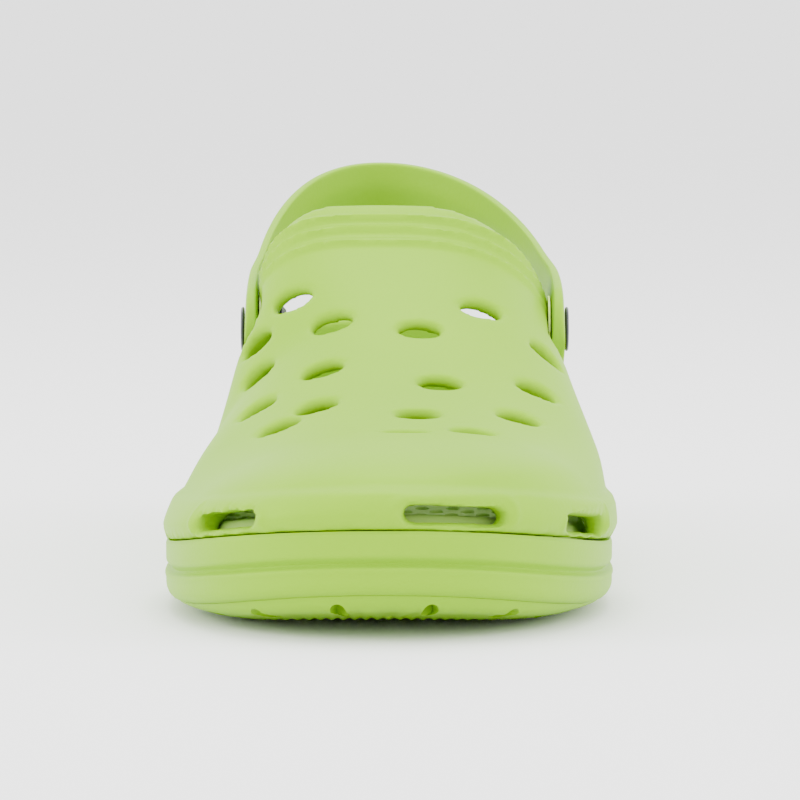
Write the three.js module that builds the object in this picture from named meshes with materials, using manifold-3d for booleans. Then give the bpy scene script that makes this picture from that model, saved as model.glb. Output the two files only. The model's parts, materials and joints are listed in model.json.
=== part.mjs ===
// A left garden clog: a moulded foam upper on a bonded sole unit and tread, with a lift-out insole and a
// heel strap that swings on two snap rivets. Millimetres, +Z up, toe towards -Y, the big-toe side at -X,
// and the origin on the ground under the middle of the shoe.
import * as THREE from "three";
import { mergeVertices } from "three/addons/utils/BufferGeometryUtils.js";
import Module from "manifold-3d";

// ---- driving sizes -------------------------------------------------------------------------------------

const LENGTH = 288; // toe to heel over the sole
const BALL_WIDTH = 115; // across the ball of the foot
const WAIST_WIDTH = 86; // across the arch
const HEEL_WIDTH = 82;
const BALL_FROM_TOE = 86; // where the shoe is widest
const WAIST_FROM_TOE = 172;
const HEEL_FROM_BACK = 46; // where the heel starts to round
const PLAN_ROUNDNESS = 2.3; // exponent of the toe and heel outlines: 2 is an ellipse
const TOE_SHIFT = -1; // the outline's bend: middle line at the toe, the waist and the heel
const WAIST_SHIFT = 6;
const HEEL_SHIFT = -2;

const TREAD_THICKNESS = 4; // the tread layer under the sole unit
const TOE_SPRING = 8.5; // how far the toe tip clears the ground
const HEEL_SPRING = 3;
const FLAT_FROM_TOE = 62; // where the tread first touches the ground
const FLAT_FROM_BACK = 24;
const TREAD_CROWN = 2.6; // the tread's edge curls up by this much round the toe
const NOTCH_PITCH = 23; // between the notches round the tread's edge
const NOTCH_WIDTH = 3.6;
const NOTCH_DEPTH = 2.4; // upwards
const NOTCH_REACH = 9; // inwards from the edge
const GROOVE_PITCH = 24; // between the cross grooves under the tread
const GROOVE_WIDTH = 4;

const SOLE_AT_TOE = 27.8; // height of the line where the upper meets the sole unit
const SOLE_AT_BALL = 17;
const SOLE_AT_HEEL = 29;
const SOLE_LOW_FROM_TOE = 84;
const SIDE_GROOVE_DEPTH = 1.6; // the groove that runs round the sole's side wall

const WALL = 4; // the upper's foam wall
const DOME_TOP = 47.3; // outer height of the toe box
const DOME_FROM_TOE = 49;
const DOME_ROUNDNESS = 2.6;
const COLLAR_TOP = 99.2; // outer height of the instep edge
const COLLAR_FROM_TOE = 156;
const INSTEP_SWEEP = 1.75; // how late the instep climbs: 1 is a straight ramp
const RIDGE_SHIFT = -7; // the instep's ridge lies this far towards the big-toe side
const ARCH_BLEND = 42; // the cross-section turns squarer over this length in front of the collar
const VAMP_ROUNDNESS = { medial: 1.75, lateral: 2.7 }; // section exponents: 2 is an ellipse
const COLLAR_ROUNDNESS = { medial: 3.6, lateral: 2.6 };
const HEEL_WALL_TOP = 54; // the low edge behind the heel
const SIDE_WALL_TOP = 50.5; // the lowest point of the edge, under the ankle

const HOLE_WIDTH = 12.4; // oval breathing holes, wide way across the foot
const HOLE_HEIGHT = 7.6;
const VENT_LENGTH = 27; // slots round the toe band
const VENT_HEIGHT = 4.4;
const VENT_ABOVE_SOLE = 5.6; // slot centre above the joint line

const INSOLE_THICKNESS = 4.5;
const INSOLE_RIM = 3; // the insole's cupped edge above its bed
const INSOLE_RIM_WIDTH = 7;

const PIVOT_FROM_TOE = 156; // the rivets' common axis
const PIVOT_HEIGHT = 65;
const STRAP_REACH = 112; // axis to the back of the strap
const STRAP_THICKNESS = 3.6;
const STRAP_WIDTH = 20; // along the sides
const STRAP_BACK_WIDTH = 24; // behind the heel
const STRAP_END_RADIUS = 12;
const STRAP_TILT = 15.5; // degrees the strap rises to the back at rest
const STRAP_BOW = 2.1; // exponent of the strap's loop
const STRAP_BACK_SHIFT = -7; // the loop's back lies towards the big-toe side
const STRAP_LEAN = 0.11; // behind its rivet, each arm leans in towards its top edge by this slope
const STRAP_LEAN_START = 18; // the lean's start, behind the pivot
const STRAP_LEAN_LENGTH = 22; // over which it comes in

const RIVET_HEAD_RADIUS = 6;
const RIVET_HEAD_HEIGHT = 1.5;
const RIVET_SHANK_RADIUS = 2.6;
const RIVET_CAP_RADIUS = 6.5;
const RIVET_CAP_HEIGHT = 2.2;
const WASHER_RADIUS = 9;
const WASHER_THICKNESS = 0.5;
const BOSS_RADIUS = 19; // the upper's flat pads at the rivets
const BOSS_SINK = { medial: 3.1, lateral: 2.5 }; // into the wall at the pivot's height
const BOSS_THICKNESS = 3.8;

const SEAT_GAP = 0.3; // between faces that rest on each other
const TURN_GAP = 0.3; // beside what turns
const SIDE_GAP = 1.8; // round the insole

// ---- mesh resolution -----------------------------------------------------------------------------------

const OUTLINE_STATIONS = 30;
const UPPER_STATIONS = 36;
const ARCH_STEPS = 20;
const ROUND_STEPS = 24;
const HOLE_STEPS = 12;

// ---- places that follow from the sizes -----------------------------------------------------------------

const TOE_Y = -LENGTH / 2;
const HEEL_Y = LENGTH / 2;
const BALL_Y = TOE_Y + BALL_FROM_TOE;
const WAIST_Y = TOE_Y + WAIST_FROM_TOE;
const ROUND_HEEL_Y = HEEL_Y - HEEL_FROM_BACK;
const DOME_Y = TOE_Y + DOME_FROM_TOE;
const COLLAR_Y = TOE_Y + COLLAR_FROM_TOE;
const PIVOT_Y = TOE_Y + PIVOT_FROM_TOE;

const wasm = await Module();
wasm.setup();

// ---- form of the shoe ----------------------------------------------------------------------------------

const clamp01 = (t) => Math.min(1, Math.max(0, t));
const ease = (t) => clamp01(t) ** 2 * (3 - 2 * clamp01(t));
const between = (a, b, t) => a + (b - a) * t;
const roundOff = (t, power) => Math.max(0, 1 - clamp01(t) ** power) ** (1 / power);

// x of the outline's middle line, which bends like a foot.
function middleX(y) {
  if (y < BALL_Y) return TOE_SHIFT * ease((BALL_Y - y) / (BALL_Y - TOE_Y));
  if (y < WAIST_Y) return WAIST_SHIFT * ease((y - BALL_Y) / (WAIST_Y - BALL_Y));
  return between(WAIST_SHIFT, HEEL_SHIFT, ease((y - WAIST_Y) / (ROUND_HEEL_Y - WAIST_Y)));
}

// Half the outline's width at y, for the outline moved inwards by inset.
function halfWidth(y, inset) {
  if (y < BALL_Y) {
    const t = (BALL_Y - y) / (BALL_Y - TOE_Y - inset);
    return (BALL_WIDTH / 2 - inset) * roundOff(t, PLAN_ROUNDNESS);
  }
  if (y < WAIST_Y) {
    return between(BALL_WIDTH, WAIST_WIDTH, ease((y - BALL_Y) / (WAIST_Y - BALL_Y))) / 2 - inset;
  }
  if (y < ROUND_HEEL_Y) {
    return between(WAIST_WIDTH, HEEL_WIDTH, ease((y - WAIST_Y) / (ROUND_HEEL_Y - WAIST_Y))) / 2 - inset;
  }
  const t = (y - ROUND_HEEL_Y) / (HEEL_Y - inset - ROUND_HEEL_Y);
  return (HEEL_WIDTH / 2 - inset) * roundOff(t, PLAN_ROUNDNESS);
}

// Height of the tread's underside, which lifts off the ground at the toe and a little at the heel.
function groundZ(y) {
  const toe = clamp01((TOE_Y + FLAT_FROM_TOE - y) / FLAT_FROM_TOE);
  const heel = clamp01((y - HEEL_Y + FLAT_FROM_BACK) / FLAT_FROM_BACK);
  return TOE_SPRING * toe ** 2 + HEEL_SPRING * heel ** 2;
}

// Height of the joint line between the sole unit and the upper.
function jointZ(y) {
  const lowY = TOE_Y + SOLE_LOW_FROM_TOE;
  if (y < lowY) {
    return between(SOLE_AT_BALL, SOLE_AT_TOE, ((lowY - y) / SOLE_LOW_FROM_TOE) ** 1.6);
  }
  return between(SOLE_AT_BALL, SOLE_AT_HEEL, ease((y - lowY) / (HEEL_Y - lowY)));
}

// Height and side place of the upper's ridge line, for a surface moved inwards by inset.
function ridgeZ(y, inset) {
  if (y < DOME_Y) {
    const t = (DOME_Y - y) / (DOME_FROM_TOE - inset);
    return between(jointZ(y), DOME_TOP - inset, roundOff(t, DOME_ROUNDNESS));
  }
  const climb = clamp01((y - DOME_Y) / (COLLAR_Y - DOME_Y)) ** INSTEP_SWEEP;
  const open = between(DOME_TOP, COLLAR_TOP, climb) - inset;
  const t = (y - ROUND_HEEL_Y) / (HEEL_Y - inset - ROUND_HEEL_Y);
  return between(jointZ(y), open, roundOff(t, 9));
}

function ridgeX(y) {
  return middleX(y) + RIDGE_SHIFT * ease((y - DOME_Y) / (COLLAR_Y - DOME_Y));
}

// A point of the upper at station y and arch angle 0 (big-toe side) to 180 degrees (little-toe side).
function upperPoint(y, degrees, inset, baseDrop = 0) {
  const angle = THREE.MathUtils.degToRad(degrees);
  const side = degrees < 90 ? -1 : 1;
  const name = side < 0 ? "medial" : "lateral";
  const blend = ease((y - COLLAR_Y + ARCH_BLEND) / ARCH_BLEND);
  const power = between(VAMP_ROUNDNESS[name], COLLAR_ROUNDNESS[name], blend);
  const across = Math.abs(Math.cos(angle)) ** (2 / power);
  const up = Math.abs(Math.sin(angle)) ** (2 / power);
  const base = jointZ(y) + SEAT_GAP - baseDrop;
  const ridge = Math.max(ridgeZ(y, inset), base);
  // Inset surfaces keep the outer base line's lean, so the wall stays even.
  const edge = middleX(y) + side * halfWidth(y, inset);
  return new THREE.Vector3(between(ridgeX(y), edge, across), y, between(base, ridge, up));
}

// The outward normal and the cross-foot direction of the upper at a point.
function upperFrame(y, degrees) {
  const step = 0.5;
  const at = upperPoint(y, degrees, 0);
  const across = upperPoint(y, degrees + step, 0).sub(upperPoint(y, degrees - step, 0)).normalize();
  const along = upperPoint(y + step, degrees, 0).sub(upperPoint(y - step, degrees, 0));
  const normal = new THREE.Vector3().crossVectors(across, along).normalize();
  return { at, across, normal };
}

// Turns a shape drawn from the side, so that its x becomes y, its y becomes z and its depth becomes x.
const SIDE_ON = new THREE.Matrix4().makeBasis(
  new THREE.Vector3(0, 1, 0),
  new THREE.Vector3(0, 0, 1),
  new THREE.Vector3(1, 0, 0),
);

// ---- solids --------------------------------------------------------------------------------------------

function solidOf(geometry) {
  const bare = geometry.clone();
  bare.deleteAttribute("normal");
  bare.deleteAttribute("uv");
  const merged = mergeVertices(bare, 1e-4);
  return new wasm.Manifold(
    new wasm.Mesh({
      numProp: 3,
      vertProperties: new Float32Array(merged.attributes.position.array),
      triVerts: new Uint32Array(merged.index.array),
    }),
  );
}

function geometryOf(solid) {
  const mesh = solid.getMesh();
  const geometry = new THREE.BufferGeometry();
  geometry.setAttribute("position", new THREE.BufferAttribute(mesh.vertProperties, 3));
  geometry.setIndex(new THREE.BufferAttribute(mesh.triVerts, 1));
  return geometry.toNonIndexed();
}

function facing(points, triangles) {
  const geometry = new THREE.BufferGeometry().setFromPoints(points);
  geometry.setIndex(triangles);
  return geometry.toNonIndexed();
}

// Stations from one end to the other, closer together at both ends.
function stations(from, to, count) {
  return Array.from({ length: count + 1 }, (_, k) =>
    between(from, to, (1 - Math.cos((Math.PI * k) / count)) / 2),
  );
}

// A body whose skin is a stack of outlines, each given by its inset and by its height as a function of y.
// Bottom and top are closed by strips that run across the foot.
function stackedOutlines(levels) {
  const shares = stations(0, 1, OUTLINE_STATIONS);
  const points = [];
  for (const { inset, height } of levels) {
    const ys = shares.map((s) => between(TOE_Y + inset, HEEL_Y - inset, s));
    const edge = (y, side) => new THREE.Vector3(middleX(y) + side * halfWidth(y, inset), y, height(y));
    points.push(...ys.map((y) => edge(y, 1)));
    points.push(...ys.slice(1, -1).reverse().map((y) => edge(y, -1)));
  }
  const ring = 2 * OUTLINE_STATIONS;
  const triangles = [];
  const quad = (a, b, c, d) => triangles.push(a, b, c, a, c, d);
  for (let level = 0; level + 1 < levels.length; level++) {
    for (let k = 0; k < ring; k++) {
      const next = (k + 1) % ring;
      const low = level * ring;
      quad(low + k, low + next, low + ring + next, low + ring + k);
    }
  }
  const last = (levels.length - 1) * ring;
  for (let k = 0; k < OUTLINE_STATIONS; k++) {
    const left = (ring - k) % ring;
    const nextLeft = ring - k - 1;
    const tip = k + 1 === OUTLINE_STATIONS;
    if (k === 0) {
      triangles.push(0, nextLeft, 1);
      triangles.push(last, last + 1, last + nextLeft);
    } else if (tip) {
      triangles.push(k, left, k + 1);
      triangles.push(last + k, last + k + 1, last + left);
    } else {
      quad(k, left, nextLeft, k + 1);
      quad(last + k, last + k + 1, last + nextLeft, last + left);
    }
  }
  return facing(points, triangles);
}

// The upper as a closed body, moved inwards by inset and carried below the joint line by baseDrop.
function upperBody(inset, baseDrop) {
  const ys = stations(TOE_Y + inset, HEEL_Y - inset, UPPER_STATIONS);
  const inner = ys.slice(1, -1);
  const points = [];
  for (const y of inner) {
    for (let k = 0; k <= ARCH_STEPS; k++) {
      points.push(upperPoint(y, (180 * k) / ARCH_STEPS, inset, baseDrop));
    }
  }
  const ring = ARCH_STEPS + 1;
  const triangles = [];
  for (let s = 0; s + 1 < inner.length; s++) {
    for (let k = 0; k < ring; k++) {
      const next = (k + 1) % ring;
      const a = s * ring;
      triangles.push(a + k, a + next, a + ring + next, a + k, a + ring + next, a + ring + k);
    }
  }
  const ends = [
    [ys[0], 0, false],
    [ys[ys.length - 1], (inner.length - 1) * ring, true],
  ];
  for (const [y, start, flip] of ends) {
    const tip = points.push(upperPoint(y, 90, inset, baseDrop)) - 1;
    for (let k = 0; k < ring; k++) {
      const a = start + k;
      const b = start + ((k + 1) % ring);
      triangles.push(...(flip ? [a, b, tip] : [b, a, tip]));
    }
  }
  return facing(points, triangles);
}

// A rod along x from one place to another.
function rodX(radius, from, to, y = PIVOT_Y, z = PIVOT_HEIGHT) {
  const rod = new THREE.CylinderGeometry(radius, radius, Math.abs(to - from), ROUND_STEPS);
  return rod.rotateZ(Math.PI / 2).translate((from + to) / 2, y, z);
}

// ---- places of the pivot stack, from the upper's side walls outwards ------------------------------------

// The arch angle at which the upper reaches the pivot's height.
function pivotAngle(side) {
  let low = 0;
  let high = 90;
  for (let k = 0; k < 40; k++) {
    const middle = (low + high) / 2;
    const z = upperPoint(PIVOT_Y, side < 0 ? middle : 180 - middle, 0).z;
    if (z < PIVOT_HEIGHT) low = middle;
    else high = middle;
  }
  return side < 0 ? low : 180 - low;
}

const pivotStacks = [-1, 1].map((side) => {
  const wall = upperPoint(PIVOT_Y, pivotAngle(side), 0).x;
  const name = side < 0 ? "medial" : "lateral";
  const boss = wall - side * BOSS_SINK[name]; // the pad's outer face
  const seat = boss - side * BOSS_THICKNESS; // and its inner face
  const washer = boss + side * TURN_GAP;
  const strap = washer + side * (WASHER_THICKNESS + TURN_GAP);
  const head = strap + side * (STRAP_THICKNESS + TURN_GAP);
  return { side, name, boss, seat, washer, strap, head, cap: seat - side * SEAT_GAP };
});

// ---- sole unit, tread and insole -----------------------------------------------------------------------

function soleUnit() {
  const low = (y) => groundZ(y) + TREAD_THICKNESS + SEAT_GAP;
  const at = (share) => (y) => between(low(y), jointZ(y), share);
  return stackedOutlines([
    { inset: 2.6, height: at(0) },
    { inset: 0.7, height: at(0.16) },
    { inset: 0.4, height: at(0.36) },
    { inset: SIDE_GROOVE_DEPTH, height: at(0.52) },
    { inset: 0.5, height: at(0.62) },
    { inset: 0, height: at(1) },
  ]);
}

function tread() {
  const rise = (lift) => (y) => groundZ(y) + lift;
  const curl = (y) => TREAD_CROWN * ease((BALL_Y + 20 - y) / 50) * (1 - ease((BALL_Y - 30 - y) / 56));
  let body = solidOf(
    stackedOutlines([
      { inset: 18, height: rise(0) },
      { inset: 5, height: (y) => groundZ(y) + curl(y) },
      { inset: 3.2, height: rise(TREAD_THICKNESS * 0.55) },
      { inset: 2.6, height: rise(TREAD_THICKNESS) },
    ]),
  );
  for (const notch of edgeNotches()) body = body.subtract(solidOf(notch));
  for (const groove of crossGrooves()) body = body.subtract(solidOf(groove));
  return geometryOf(body);
}

// Notches round the tread's edge, each square to the outline.
function edgeNotches() {
  const outline = [];
  const ys = stations(TOE_Y + 4, HEEL_Y - 4, 120);
  for (const y of ys) outline.push(new THREE.Vector3(middleX(y) + halfWidth(y, 4), y, 0));
  for (const y of ys.slice(1, -1).reverse()) outline.push(new THREE.Vector3(middleX(y) - halfWidth(y, 4), y, 0));
  const path = new THREE.CatmullRomCurve3(outline, true);
  const count = Math.round(path.getLength() / NOTCH_PITCH);
  return Array.from({ length: count }, (_, k) => {
    const share = (k + 0.5) / count;
    const at = path.getPointAt(share);
    const along = path.getTangentAt(share);
    const box = new THREE.BoxGeometry(NOTCH_WIDTH, 2 * NOTCH_REACH, 2 * NOTCH_DEPTH);
    box.rotateZ(Math.atan2(along.y, along.x));
    return box.translate(at.x, at.y, groundZ(at.y));
  });
}

// Straight grooves across the middle of the tread, which stop short of the edge lugs.
function crossGrooves() {
  const count = Math.floor((LENGTH - 60) / GROOVE_PITCH);
  return Array.from({ length: count }, (_, k) => {
    const y = (k - (count - 1) / 2) * GROOVE_PITCH;
    const width = 2 * halfWidth(y, 5 + NOTCH_REACH + 4);
    const box = new THREE.BoxGeometry(width, GROOVE_WIDTH, 2 * NOTCH_DEPTH);
    return box.translate(middleX(y), y, groundZ(y));
  });
}

function insole() {
  const edge = WALL + SIDE_GAP;
  // The rim fades out under the vamp, towards the low toe box.
  const rim = (y) => INSOLE_RIM * ease((y - COLLAR_Y + 70) / 70);
  const rise = (bed, share) => (y) => jointZ(y) + SEAT_GAP + bed + share * rim(y);
  return stackedOutlines([
    { inset: edge + 0.6, height: rise(0, 0) },
    { inset: edge + 2.4, height: rise(INSOLE_THICKNESS - 0.8, 1) },
    { inset: edge + 3.8, height: rise(INSOLE_THICKNESS, 1) },
    { inset: edge + INSOLE_RIM_WIDTH, height: rise(INSOLE_THICKNESS, 0.3) },
    { inset: edge + 2 * INSOLE_RIM_WIDTH, height: rise(INSOLE_THICKNESS, 0) },
  ]);
}

// ---- upper ---------------------------------------------------------------------------------------------

// What is cut away above the foot opening: its lower edge, seen from the side, is the shoe's top line.
function openingCutter() {
  const shape = new THREE.Shape();
  shape.moveTo(COLLAR_Y - 2, COLLAR_TOP + 20);
  shape.lineTo(COLLAR_Y, COLLAR_TOP - 0.6);
  shape.bezierCurveTo(COLLAR_Y + 6, 86, PIVOT_Y + 14, 80, PIVOT_Y + 15, 68);
  shape.bezierCurveTo(PIVOT_Y + 16, 58, PIVOT_Y + 30, SIDE_WALL_TOP, PIVOT_Y + 56, SIDE_WALL_TOP);
  shape.bezierCurveTo(PIVOT_Y + 90, SIDE_WALL_TOP, HEEL_Y - 28, HEEL_WALL_TOP, HEEL_Y + 4, HEEL_WALL_TOP + 1);
  shape.lineTo(HEEL_Y + 4, COLLAR_TOP + 20);
  shape.closePath();
  const depth = 2 * BALL_WIDTH;
  const cutter = new THREE.ExtrudeGeometry(shape, { depth, bevelEnabled: false, curveSegments: 7 });
  return cutter.applyMatrix4(SIDE_ON).translate(-depth / 2, 0, 0);
}

// Holes from the instep down to the toe box: each row's distances in front of the collar's edge, and the
// arch angles across the foot.
const HOLE_ROWS = [
  [[24, 62], [31, 112]],
  [[26, 44], [37, 73], [43, 96], [34, 136]],
  [[37, 46], [56, 71], [67, 99], [59, 127]],
  [[60, 51], [75, 69], [87, 94], [81, 119]],
  [[80, 58], [107, 92], [101, 106]],
];

// Turns a cutter whose length lies along z, and whose width lies along x, to stand square on the upper.
function standOnUpper(geometry, y, degrees) {
  const { at, across, normal } = upperFrame(y, degrees);
  const up = new THREE.Vector3().crossVectors(normal, across);
  const place = new THREE.Matrix4().makeBasis(across, up, normal).setPosition(at);
  return geometry.applyMatrix4(place);
}

function holeCutters() {
  return HOLE_ROWS.flat().map(([beforeCollar, degrees]) => {
    const oval = new THREE.CylinderGeometry(0.5, 0.5, 4 * WALL, HOLE_STEPS);
    oval.rotateX(Math.PI / 2).scale(HOLE_WIDTH, HOLE_HEIGHT, 1);
    return standOnUpper(oval, COLLAR_Y - beforeCollar, degrees);
  });
}

// Vent slots round the toe band: bearing of each slot's middle from straight ahead, in degrees towards
// the little-toe side, and its length.
const VENTS = [
  { bearing: -38, length: 0.85 * VENT_LENGTH },
  { bearing: 14, length: VENT_LENGTH },
  { bearing: 60, length: VENT_LENGTH },
];

// The place on the toe outline, and its outward direction, at a bearing from the ball's middle line.
function toeEdge(bearing) {
  const angle = THREE.MathUtils.degToRad(bearing);
  const across = Math.abs(Math.sin(angle)) ** (2 / PLAN_ROUNDNESS) * Math.sign(bearing);
  const ahead = Math.abs(Math.cos(angle)) ** (2 / PLAN_ROUNDNESS);
  const y = BALL_Y - ahead * (BALL_Y - TOE_Y);
  return new THREE.Vector3(middleX(y) + (across * BALL_WIDTH) / 2, y, jointZ(y) + VENT_ABOVE_SOLE);
}

function ventCutters() {
  return VENTS.map(({ bearing, length }) => {
    const at = toeEdge(bearing);
    const along = toeEdge(bearing + 2).sub(toeEdge(bearing - 2)).setZ(0).normalize();
    const slot = new THREE.Shape();
    const straight = length / 2 - VENT_HEIGHT / 2;
    slot.moveTo(-straight, -VENT_HEIGHT / 2);
    slot.lineTo(straight, -VENT_HEIGHT / 2);
    slot.absarc(straight, 0, VENT_HEIGHT / 2, -Math.PI / 2, Math.PI / 2);
    slot.lineTo(-straight, VENT_HEIGHT / 2);
    slot.absarc(-straight, 0, VENT_HEIGHT / 2, Math.PI / 2, Math.PI * 1.5);
    const depth = 5 * WALL;
    const cutter = new THREE.ExtrudeGeometry(slot, { depth, bevelEnabled: false, curveSegments: 5 });
    const up = new THREE.Vector3(0, 0, 1);
    const out = new THREE.Vector3().crossVectors(along, up);
    const place = new THREE.Matrix4().makeBasis(along, up, out);
    return cutter.translate(0, 0, -depth / 2).applyMatrix4(place.setPosition(at));
  });
}

// The discs, seen from the side, where the strap's arm lies flat on the upper: round the rivet, and behind.
function padDiscs(radius, from, to) {
  const places = [0, STRAP_END_RADIUS].map((back) => [PIVOT_Y + back, PIVOT_HEIGHT - back * 0.1]);
  return places.map(([y, z]) => solidOf(rodX(radius, from, to, y, z)));
}

function upperShell() {
  let shell = solidOf(upperBody(0, 0));
  let inside = solidOf(upperBody(WALL, 5));
  for (const { boss, seat } of pivotStacks) {
    for (const disc of padDiscs(BOSS_RADIUS, seat, boss)) inside = inside.subtract(disc);
  }
  shell = shell.subtract(inside).subtract(solidOf(openingCutter()));
  for (const { boss, seat, side } of pivotStacks) {
    for (const disc of padDiscs(BOSS_RADIUS, boss, boss + side * 12)) shell = shell.subtract(disc);
    shell = shell.subtract(solidOf(rodX(RIVET_CAP_RADIUS + 2, seat, seat - side * 12)));
    shell = shell.subtract(solidOf(rodX(RIVET_SHANK_RADIUS + TURN_GAP, seat - side, boss + side)));
  }
  for (const cutter of [...holeCutters(), ...ventCutters()]) shell = shell.subtract(solidOf(cutter));
  const pieces = shell.decompose().sort((a, b) => b.volume() - a.volume());
  return geometryOf(pieces[0]);
}

// ---- heel strap ----------------------------------------------------------------------------------------

// A point of the strap in its own frame: y runs back from the pivot, z across the band. The share runs
// from the big-toe side's end round the back to the other end, with both ends carried in front of the pivot.
function strapPoint(share, z, inset) {
  const [medial, lateral] = pivotStacks.map(({ strap, side }) => strap + side * (STRAP_THICKNESS - inset));
  const middle = (medial + lateral) / 2;
  const half = (lateral - medial) / 2;
  const end = 0.06; // share of each straight end
  if (share < end || share > 1 - end) {
    const ahead = Math.max(end - share, share - 1 + end) / end;
    return new THREE.Vector3(share < 0.5 ? medial : lateral, -2 * STRAP_END_RADIUS * ahead, z);
  }
  const angle = Math.PI * (1 - (share - end) / (1 - 2 * end));
  const back = Math.sin(angle) ** (2 / STRAP_BOW);
  const out = Math.sign(Math.cos(angle)) * Math.abs(Math.cos(angle)) ** (2 / STRAP_BOW);
  const lean = STRAP_LEAN * ease((STRAP_REACH * back - STRAP_LEAN_START) / STRAP_LEAN_LENGTH);
  const width = half - lean * z;
  return new THREE.Vector3(
    middle + STRAP_BACK_SHIFT * back ** 2 + width * out,
    (STRAP_REACH - inset) * back,
    z,
  );
}

function heelStrap() {
  const steps = 56;
  const reach = 2 * STRAP_END_RADIUS;
  const points = [];
  for (let k = 0; k <= steps; k++) {
    const share = k / steps;
    for (const [z, inset] of [[-reach, 0], [reach, 0], [reach, STRAP_THICKNESS], [-reach, STRAP_THICKNESS]]) {
      points.push(strapPoint(share, z, inset));
    }
  }
  const triangles = [0, 2, 1, 0, 3, 2];
  for (let k = 0; k < steps; k++) {
    for (let corner = 0; corner < 4; corner++) {
      const a = 4 * k + corner;
      const b = 4 * k + ((corner + 1) % 4);
      triangles.push(a, b + 4, a + 4, a, b, b + 4);
    }
  }
  const last = 4 * steps;
  triangles.push(last, last + 1, last + 2, last, last + 2, last + 3);
  const band = solidOf(facing(points, triangles));

  // The band seen from the side: round ends at the rivets, slimmer sides and a deeper back.
  const side = new THREE.Shape();
  const neck = STRAP_WIDTH / 2;
  const back = STRAP_BACK_WIDTH / 2;
  const far = STRAP_REACH + 5;
  const lead = 0.68 * Math.PI;
  const start = new THREE.Vector2(Math.cos(lead), Math.sin(lead)).multiplyScalar(STRAP_END_RADIUS);
  side.absarc(0, 0, STRAP_END_RADIUS, lead, 2 * Math.PI - lead);
  side.bezierCurveTo(6, -STRAP_END_RADIUS, 18, -neck, 34, -neck);
  side.bezierCurveTo(60, -neck, far - 45, -back, far, -back);
  side.lineTo(far, back);
  side.bezierCurveTo(far - 45, back, 60, neck, 34, neck);
  side.bezierCurveTo(18, neck, 6, STRAP_END_RADIUS, start.x, start.y);
  const depth = 2 * BALL_WIDTH;
  const cutter = new THREE.ExtrudeGeometry(side, { depth, bevelEnabled: false, curveSegments: 8 });
  cutter.applyMatrix4(SIDE_ON).translate(-depth / 2, 0, 0);
  const bore = rodX(RIVET_SHANK_RADIUS + TURN_GAP, -BALL_WIDTH, BALL_WIDTH, 0, 0);
  return geometryOf(band.intersect(solidOf(cutter)).subtract(solidOf(bore)));
}

// ---- rivets --------------------------------------------------------------------------------------------

// Turned parts are drawn as a profile of radius against distance along the axis, out of the shoe.
function turned(profile, side) {
  const points = profile.map(([radius, along]) => new THREE.Vector2(radius, along));
  return new THREE.LatheGeometry(points, ROUND_STEPS).rotateZ((-side * Math.PI) / 2);
}

// Domed head outside the strap, with a shank through to the cap inside the shoe.
function rivetStud({ side, head, cap }) {
  const shank = Math.abs(head - cap) + RIVET_CAP_HEIGHT * 0.55;
  return turned(
    [
      [0, -shank],
      [RIVET_SHANK_RADIUS * 0.8, -shank],
      [RIVET_SHANK_RADIUS, -shank + 0.8],
      [RIVET_SHANK_RADIUS, 0],
      [RIVET_HEAD_RADIUS, 0],
      [RIVET_HEAD_RADIUS, RIVET_HEAD_HEIGHT * 0.45],
      [RIVET_HEAD_RADIUS * 0.86, RIVET_HEAD_HEIGHT * 0.8],
      [RIVET_HEAD_RADIUS * 0.5, RIVET_HEAD_HEIGHT],
      [0, RIVET_HEAD_HEIGHT],
    ],
    side,
  );
}

// The female half, which the shank snaps into.
function rivetCap({ side }) {
  const socket = RIVET_SHANK_RADIUS + 0.05;
  return turned(
    [
      [0, -RIVET_CAP_HEIGHT],
      [RIVET_CAP_RADIUS * 0.8, -RIVET_CAP_HEIGHT],
      [RIVET_CAP_RADIUS, -RIVET_CAP_HEIGHT * 0.5],
      [RIVET_CAP_RADIUS, 0],
      [socket, 0],
      [socket, -RIVET_CAP_HEIGHT * 0.7],
      [0, -RIVET_CAP_HEIGHT * 0.7],
    ],
    side,
  );
}

function washer({ side }) {
  const bore = RIVET_SHANK_RADIUS + TURN_GAP;
  const ring = [
    [bore, 0],
    [WASHER_RADIUS, 0],
    [WASHER_RADIUS, WASHER_THICKNESS],
    [bore, WASHER_THICKNESS],
    [bore, 0],
  ];
  return turned(ring, side);
}

// ---- materials and assembly ----------------------------------------------------------------------------

const limeFoam = new THREE.MeshStandardMaterial({ color: 0xc4dc58, roughness: 0.5, metalness: 0 });
const insoleFoam = new THREE.MeshStandardMaterial({ color: 0xa9c85a, roughness: 0.75, metalness: 0 });
const rivetPlastic = new THREE.MeshStandardMaterial({ color: 0x33363a, roughness: 0.35, metalness: 0 });
const clearPlastic = new THREE.MeshStandardMaterial({ color: 0xb9d94a, roughness: 0.4, metalness: 0 });

const clog = new THREE.Group();

function place(name, geometry, material, position = [0, 0, 0]) {
  const mesh = new THREE.Mesh(geometry, material);
  mesh.name = name;
  mesh.position.set(...position);
  return mesh;
}

clog.add(place("upper_shell", upperShell(), limeFoam));
clog.add(place("sole_unit", soleUnit(), limeFoam));
clog.add(place("outsole_tread", tread(), limeFoam));
clog.add(place("insole", insole(), insoleFoam));

const strap = place("heel_strap", heelStrap(), limeFoam, [0, PIVOT_Y, PIVOT_HEIGHT]);
strap.rotation.x = THREE.MathUtils.degToRad(STRAP_TILT);
clog.add(strap);

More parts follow.
